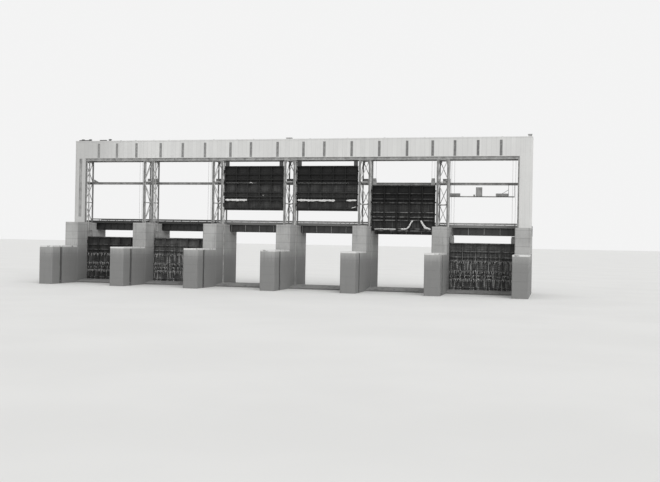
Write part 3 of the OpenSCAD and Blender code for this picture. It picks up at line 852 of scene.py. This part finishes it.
def column_louvres():
    """Slanted blades in the long slit of the left column, in a frame."""
    step = 0.022
    rise = step - 0.003
    thick = 0.0015
    edge = 0.005
    low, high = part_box("column_cladding_left")
    x0, x1 = (low.x + side for side in COLUMN_SLIT)
    y0, y1 = low.y + 0.002, low.y + 0.012
    z0, z1 = low.z + COLUMN_SLIT_UP, high.z - COLUMN_SLIT_DOWN
    rim = Shape()
    rim.border((x0, y0 - 0.004, z0), (x1, y1, z1), edge)
    rim.make("column_louvre_frame", paint["window"])
    blades = Shape()
    for k in range(int((z1 - z0 - 2 * edge) / step)):
        z = z0 + edge + k * step
        outline = [(y0, z), (y0 + thick, z), (y1, z + rise), (y1 - thick, z + rise)]
        blades.plate(outline, "x", x0 + edge, x1 - edge)
    blades.make("column_louvres", paint["louvre"])


def roof_details():
    """Raised seams across the roof, ventilators and two low ducts."""
    half = 0.0025
    inset = 0.004
    top = roof_high.z
    seams = Shape()
    for x in centred(roof_low.x, roof_high.x, 0.120):
        seams.box((x - half, roof_low.y + inset, top), (x + half, roof_high.y - inset, top + 0.003))
    seams.make("roof_seams", roof_finish)
    vents = Shape()
    for x in ROOF_DOTS:
        vents.upright(Vector((x, roof_low.y + 0.070, top)), DOT_PROFILE, 16)
    cowl_y = roof_low.y + 0.3 * (roof_high.y - roof_low.y)
    for share in ROOF_COWLS:
        vents.upright(Vector((tower_x[0] + share * pitch, cowl_y, top)), COWL_PROFILE, 20)
    y0, y1, y2 = (roof_low.y + off for off in (0.012, 0.052, 0.090))
    duct_top = top + 0.024
    for x0, x1 in ROOF_DUCTS:
        vents.box((x0, y0, top), (x1, y1, duct_top))
        vents.box((x0 + 0.02, y1, top), (x0 + 0.06, y2, duct_top))
    vents.make("roof_ventilators", vent_finish)


def window_frames():
    """A frame round each slit window, with glazing bars across it."""
    edge = 0.004
    proud = 0.003
    bars = 5
    bar_half = 0.00125
    frames = Shape()
    for face, out in GALLERY_FACES:
        inner = face - out * 0.004
        bar_face = inner + out * 0.002
        for x in slit_middles():
            left, right = x - SLIT_W / 2, x + SLIT_W / 2
            frames.border((left, inner, SLIT_FOOT), (right, face + out * proud, SLIT_HEAD), edge)
            for k in range(1, bars + 1):
                z = SLIT_FOOT + k * (SLIT_HEAD - SLIT_FOOT) / (bars + 1)
                frames.box((left + edge, inner, z - bar_half), (right - edge, bar_face, z + bar_half))
    frames.make("window_frames", paint["window"])


def beam_details():
    """Web stiffeners on the beams below the gallery, and bolts beside the towers."""
    flange = 0.008
    half = 0.002
    web = 0.004
    beam_half = 0.015
    foot, head = beam_low.z + flange, beam_high.z - flange
    ribs = Shape()
    heads = Shape()
    for leg_y in LEG_Y:
        for side in (-1, 1):
            for x in along_dam(8):
                ribs.box((x - half, leg_y + side * web, foot),
                         (x + half, leg_y + side * (beam_half - 0.001), head))
            for x in tower_x:
                for off in (-0.02, 0.02):
                    heads.bolt((x + off, leg_y + side * beam_half * 0.6, foot), (0, 0, 1))
    ribs.make("beam_stiffeners", paint["beam"])
    heads.make("beam_bolts", bolt_finish)


def girder_details():
    """Stiffeners, splice plates and bolts on the mid-height girder, and lids and doors on its boxes."""
    flange = 0.006
    half = 0.0015
    lip = 0.003
    inset = 0.005
    low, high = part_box("girder_boxes")
    mid_y = low.y + GIRDER_HALF
    parts = Shape()
    heads = Shape()
    for side in (-1, 1):
        web, splice, edge = (mid_y + side * off for off in (0.003, 0.006, 0.014))
        for x in along_dam(10):
            parts.box((x - half, web, girder_foot + flange), (x + half, edge, girder_top - flange))
        for i in GATES:
            x = bay_middle(i) + 0.02
            parts.box((x, web, girder_foot + 0.008), (x + 0.08, splice, girder_top - 0.008))
            for k in range(6):
                for up in (0.016, 0.034):
                    heads.bolt((x + 0.007 + k * 0.013, splice, girder_foot + up), (0, side, 0))
    for x, spans in zip(tower_x, BOXES_AT):
        for span in spans:
            x0, x1 = (x + share * 2 * TOWER_HALF for share in span)
            parts.box((x0 - lip, low.y - lip, high.z - 0.008), (x1 + lip, high.y + lip, high.z + 0.002))
            doors = 2 if x1 - x0 > 0.08 else 1
            width = (x1 - x0) / doors
            door_y = low.y - 0.002
            for left in (x0 + k * width for k in range(doors)):
                parts.box((left + inset, door_y, low.z + 0.010),
                          (left + width - inset, low.y, high.z - 0.014))
                heads.bolt((left + 0.009, door_y, low.z + 0.036), (0, -1, 0), 0.003, 0.002)
    parts.make("girder_fittings", paint["girder"])
    heads.make("girder_bolts", bolt_finish)


def stage_details():
    """Boards and toe rails on the hung stage."""
    width = 0.018
    gap = 0.002
    thick = 0.003
    rail_w = 0.002
    rail_h = 0.008
    foot = stage_low.z + 0.012
    boards = Shape()
    y = stage_low.y
    while y + width <= stage_high.y + 0.001:
        boards.box((stage_low.x + gap, y + 0.001, foot),
                   (stage_high.x - gap, y + width - 0.001, foot + thick))
        y += width + gap
    boards.make("stage_boards", plank_finish)
    rails = Shape()
    for y in (stage_low.y, stage_high.y - rail_w):
        rails.box((stage_low.x + 0.001, y, foot), (stage_high.x - 0.001, y + rail_w, foot + rail_h))
    rails.make("stage_toe_rails", paint["girder"])


def deck_stiffeners():
    """Web stiffeners of the deck girders. Every other one of the downstream row is frosted past bay 2."""
    flange = 0.008
    half = 0.002
    frosted_half = 0.005
    rows = 4
    first, last = deck_beam_low.y + 0.020, deck_beam_high.y - 0.020
    foot, head = deck_beam_low.z + flange, deck_beam_high.z - flange
    dark = Shape()
    light = Shape()
    for row in range(rows):
        y = first + row * (last - first) / (rows - 1)
        for k, x in enumerate(along_dam(10)):
            for side in (-1, 1):
                frosted = row == 0 and side < 0 and k % 2 and x > tower_x[2]
                ribs, wide = (light, frosted_half) if frosted else (dark, half)
                ribs.box((x - wide, y + side * 0.004, foot), (x + wide, y + side * 0.017, head))
    dark.make("deck_stiffeners", deck_steel_finish)
    light.make("deck_frosted_stiffeners", paint["frosted"])


def deck_joints():
    """Two joint strips across the deck over each pier."""
    width = 0.004
    inset = 0.030
    joints = Shape()
    for x in tower_x:
        for left in (x - 0.012, x + 0.008):
            joints.box((left, deck_low.y + inset, deck_high.z),
                       (left + width, deck_high.y - inset, deck_high.z + 0.0015))
    joints.make("deck_joints", paint["nosing"])


def guard_rail_fittings():
    """Ridges along the guard rails, and bolted feet below their posts."""
    low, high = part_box("deck_railing")
    foot_half = 0.009
    foot_t = 0.003
    bolt_off = 0.0065
    fittings = Shape()
    for y, out in ((low.y, -1), (high.y, 1)):
        for z in (high.z - 0.020, high.z - 0.008):
            fittings.box((low.x, y, z), (high.x, y + out * 0.003, z + 0.006))
        foot_y = y - out * 0.004
        for x in along_dam(8):
            fittings.box((x - foot_half, foot_y - foot_half, low.z),
                         (x + foot_half, foot_y + foot_half, low.z + foot_t))
            for at_x in (x - bolt_off, x + bolt_off):
                for at_y in (foot_y - bolt_off, foot_y + bolt_off):
                    fittings.bolt((at_x, at_y, low.z + foot_t), (0, 0, 1), 0.0014, 0.0015)
    fittings.make("guard_rail_fittings", rail_finish)


def leaf_details(i):
    """Stringers, rib flanges, rivets and seals of one gate leaf."""
    gate = "gate_%d" % i
    foot = leaf_foot(i)
    head = foot + LEAF_H
    left_end, right_end = bay_middle(i) - LEAF_W / 2, bay_middle(i) + LEAF_W / 2
    back = LEAF_Y + LEAF_D
    skin = back - WEB
    girder_z = [foot + share * LEAF_H for share in (0.0, *GIRDER_AT, 1.0)]
    rib_x = [left_end + share * LEAF_W for share in (0.0, *RIB_AT, 1.0)]
    steel = Shape()
    for low_z, high_z in zip(girder_z, girder_z[1:]):
        spaces = max(2, round((high_z - low_z) / 0.034))
        for k in range(1, spaces):
            z = low_z + k * (high_z - low_z) / spaces
            for a, b in zip(rib_x, rib_x[1:]):
                steel.box((a + WEB, skin - 0.009, z - 0.001), (b - WEB, skin, z + 0.001))
                steel.box((a + WEB, skin - 0.010, z - 0.001), (b - WEB, skin - 0.009, z + 0.006))
        for x in rib_x[1:-1]:
            steel.box((x - 0.007, LEAF_Y + 0.008, low_z + FLANGE / 2 + 0.001),
                      (x + 0.007, LEAF_Y + 0.010, high_z - FLANGE / 2 - 0.001))
    steel.make(gate + "_stringers", gate_finish[i], gate)
    rivet_x = centred(left_end, right_end, 0.0205)
    web_up = (FLANGE / 2, *(WEB / 2 for _ in GIRDER_AT), -FLANGE / 2)
    row_off = 0.0062
    heads = Shape()
    for z, up in zip(girder_z, web_up):
        for level in (z + up - row_off, z + up + row_off):
            for x in rivet_x:
                heads.bolt((x, LEAF_Y, level), (0, -1, 0), 0.0018, 0.0012)
    for z in girder_z[1:-1]:
        for x in rivet_x:
            heads.bolt((x, back, z + WEB / 2), (0, 1, 0), 0.0018, 0.0010)
    heads.make(gate + "_rivets", gate_finish[i], gate)
    seal = 0.012
    outer = back + 0.003
    seals = Shape()
    for end, out in ((left_end, -1), (right_end, 1)):
        seals.box((end - out * seal, back, foot + 0.002), (end + out * 0.002, outer, head - 0.002))
    seals.box((left_end + seal, back, foot + 0.001), (right_end - seal, outer, foot + seal))
    seals.make(gate + "_seals", seal_finish, gate)


def ice_strip(lumps, path, height, depth):
    """Lumpy ridge of ice along a path of (x, z) points on a leaf's downstream face, from left to right."""
    step = 0.006
    face = LEAF_Y + 0.0005
    stations = []
    for (x0, z0), (x1, z1) in zip(path, path[1:]):
        length = math.hypot(x1 - x0, z1 - z0)
        tangent = ((x1 - x0) / length, (z1 - z0) / length)
        count = max(1, int(length / step))
        stations += [(x0 + (x1 - x0) * k / count, z0 + (z1 - z0) * k / count, tangent) for k in range(count)]
    stations.append((*path[-1], tangent))
    loops = []
    for k, (x, z, (tx, tz)) in enumerate(stations):
        ends = min(1.0, (k + 1) / 4, (len(stations) - k) / 4)
        rough = noise.noise(Vector((x * 45, z * 45, 3.0)))
        wave = noise.noise(Vector((x * 14, 7.0, z * 14)))
        up = height * 0.5 * ends * (1 + 0.35 * rough)
        down = height * 0.5 * ends * (1 + 0.7 * wave + 0.35 * rough)
        bulge = depth * ends * (0.8 + 0.4 * rough)
        profile = [(0.0, up), (0.6 * bulge, 0.85 * up), (bulge, 0.1 * up),
                   (0.6 * bulge, -0.8 * down), (0.0, -down)]
        loops.append([(x - tz * v, face - u, z + tx * v) for u, v in profile])
    lumps.loft(loops)


def icicles(lumps, i, girder, count):
    """Icicles below one girder of a closed leaf."""
    top = leaf_foot(i) + GIRDER_AT[girder] * LEAF_H + WEB / 2 - FLANGE / 2
    longest = 0.9 * (GIRDER_AT[girder] - GIRDER_AT[girder - 1]) * LEAF_H - FLANGE
    mid = bay_middle(i)
    reach = LEAF_W / 2 - 0.01
    y = LEAF_Y + 0.002
    for k in range(count):
        spread = noise.noise(Vector((k * 3.7, i * 5.1, girder * 2.3)))
        size = 0.5 + 0.5 * noise.noise(Vector((k * 1.9, girder * 4.1, i * 8.7)))
        x = mid + (k + 0.5 + spread) * LEAF_W / count - LEAF_W / 2
        x = min(max(x, mid - reach), mid + reach)
        length = min(longest, 0.015 + 0.11 * size * size)
        lumps.rings([((x, y, top - length), 0.0004), ((x, y, top - length * 0.5), 0.0016 + 0.0012 * size),
                     ((x, y, top + 0.001), 0.0022 + 0.0024 * size)], 6)


def leaf_ice(i):
    """Ice on a leaf: ridges on the raised ones where the photo shows them, icicles on the closed ones."""
    lumps = Shape()
    for height, depth, girder, path in ICE_RIDGES.get(i, ()):
        z = leaf_foot(i) + GIRDER_AT[girder] * LEAF_H + WEB / 2
        ice_strip(lumps, [(bay_middle(i) + x, z + up) for x, up in path], height, depth)
    if i not in ICE_RIDGES:
        for girder, count in ICICLE_ROWS:
            icicles(lumps, i, girder, count)
    lumps.make("gate_%d_ice" % i, ice_finish, "gate_%d" % i)


def lift_ropes(i):
    """Two falls of rope at each end, from the gallery floor down to and round the leaf's sheaves."""
    gate = "gate_%d" % i
    rings = 24
    arcs = 12
    cheek = 0.01325
    top_z = gallery_low.z
    axle_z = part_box("lift_blocks_%d" % i)[1].z - SHEAVE_R - WEB
    ropes = Shape()
    for x in block_middles(i):
        for fall_x in (x - LAY_R, x + LAY_R):
            ropes.rings([((fall_x, wheel_y, axle_z + (top_z - axle_z) * k / rings), ROPE_R)
                         for k in range(rings + 1)], 8)
    piece = ropes.make(gate + "_ropes", rope_finish, body=None, smooth=True)
    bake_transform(piece)
    wraps = Shape()
    for x in block_middles(i):
        turns = [math.pi + math.pi * k / arcs for k in range(arcs + 1)]
        lay = [(x + LAY_R * math.cos(t), wheel_y, axle_z + LAY_R * math.sin(t)) for t in turns]
        for a, b in zip(lay, lay[1:]):
            wraps.rings([(a, ROPE_R), (b, ROPE_R)], 8)
        for side in (-1, 1):
            out = Vector((0, side, 0))
            centre = Vector((x, wheel_y + side * cheek, axle_z))
            wraps.rings([(centre, 0.009), (centre + out * 0.003, 0.009), (centre + out * 0.004, 0.0078)], 6)
            for off in (-0.030, 0.030):
                for down in (0.030, 0.055, 0.080):
                    wraps.bolt(centre + Vector((off, 0, -down)), out, 0.0026, 0.002)
    wraps.make(gate + "_rope_wraps", rope_finish, gate)


def rope_heads():
    """Plates with collars below the gallery floor where the ropes come through."""
    foot = gallery_low.z - 0.006
    length, width = 0.090, 0.032
    collar = ((0, 0.008), (-0.006, 0.010))
    plates = Shape()
    for i in GATES:
        for x in block_middles(i):
            plates.box((x - length / 2, wheel_y - width / 2, foot),
                       (x + length / 2, wheel_y + width / 2, gallery_low.z))
            for fall_x in (x - LAY_R, x + LAY_R):
                plates.upright(Vector((fall_x, wheel_y, foot)), collar, 12)
    plates.make("rope_heads", paint["beam"])


def studio_floor():
    """Wide pale floor."""
    half = 300.0
    mesh = bpy.data.meshes.new("floor")
    corners = [(-half, -half, 0), (half, -half, 0), (half, half, 0), (-half, half, 0)]
    mesh.from_pydata(corners, [], [(0, 1, 2, 3)])
    floor = new_object("floor", mesh)
    g = Graph("floor_finish")
    mesh.materials.append(g.finish(g.mottled(g.noise(0.6), 0.78, 0.81), 0.9))


def studio_light():
    """Soft light from all round with one broad lamp, and a pale background where the camera sees it."""
    world = bpy.data.worlds.new("studio_world")
    bpy.context.scene.world = world
    world.use_nodes = True
    tree = world.node_tree
    light = tree.nodes["Background"]
    seen = tree.nodes.new("ShaderNodeBackground")
    for background, tone, strength in ((light, 1.0, 0.74), (seen, 0.90, 1.0)):
        background.inputs["Color"].default_value = (tone, tone, tone, 1.0)
        background.inputs["Strength"].default_value = strength
    rays = tree.nodes.new("ShaderNodeLightPath").outputs
    either = rays["Is Camera Ray"]
    for name in ("Is Glossy Ray", "Is Transmission Ray"):
        larger = tree.nodes.new("ShaderNodeMath")
        larger.operation = "MAXIMUM"
        tree.links.new(either, larger.inputs[0])
        tree.links.new(rays[name], larger.inputs[1])
        either = larger.outputs[0]
    blend = tree.nodes.new("ShaderNodeMixShader")
    tree.links.new(either, blend.inputs["Fac"])
    tree.links.new(light.outputs[0], blend.inputs[1])
    tree.links.new(seen.outputs[0], blend.inputs[2])
    tree.links.new(blend.outputs[0], tree.nodes["World Output"].inputs["Surface"])

    lamp = bpy.data.lights.new("key_sun", "SUN")
    lamp.energy = 1.2
    lamp.angle = math.radians(50)
    key = new_object("key_sun", lamp)
    key.rotation_euler = Vector((-0.80, 1.0, -0.80)).to_track_quat("-Z", "Y").to_euler()


def photo_camera():
    """The camera, fitted to points measured in the 660 x 482 photograph."""
    focal_px = 900.28
    frame_px = 660.0
    place = Vector((5.144, -16.959, 0.911))
    yaw = 0.2449
    pitch_up = 0.0018
    roll = 0.0181
    data = bpy.data.cameras.new("camera")
    data.sensor_width = 36.0
    data.lens = focal_px / frame_px * data.sensor_width
    data.clip_end = 1000.0
    camera = new_object("camera", data)
    camera.matrix_world = (Matrix.Translation(place) @ Matrix.Rotation(yaw, 4, "Z")
                           @ Matrix.Rotation(math.pi / 2 + pitch_up, 4, "X")
                           @ Matrix.Rotation(roll, 4, "Z"))
    bpy.context.scene.camera = camera


bpy.context.scene.view_settings.view_transform = "Standard"
studio_floor()
studio_light()
photo_camera()
dress_frame()
tower_gussets()
guide_bolts()
slot_nosings()
cladding_ribs()
gallery_trims()
column_louvres()
roof_details()
window_frames()
beam_details()
girder_details()
stage_details()
deck_stiffeners()
deck_joints()
guard_rail_fittings()
rope_heads()
for gate in GATES:
    leaf_details(gate)
    leaf_ice(gate)
    lift_ropes(gate)
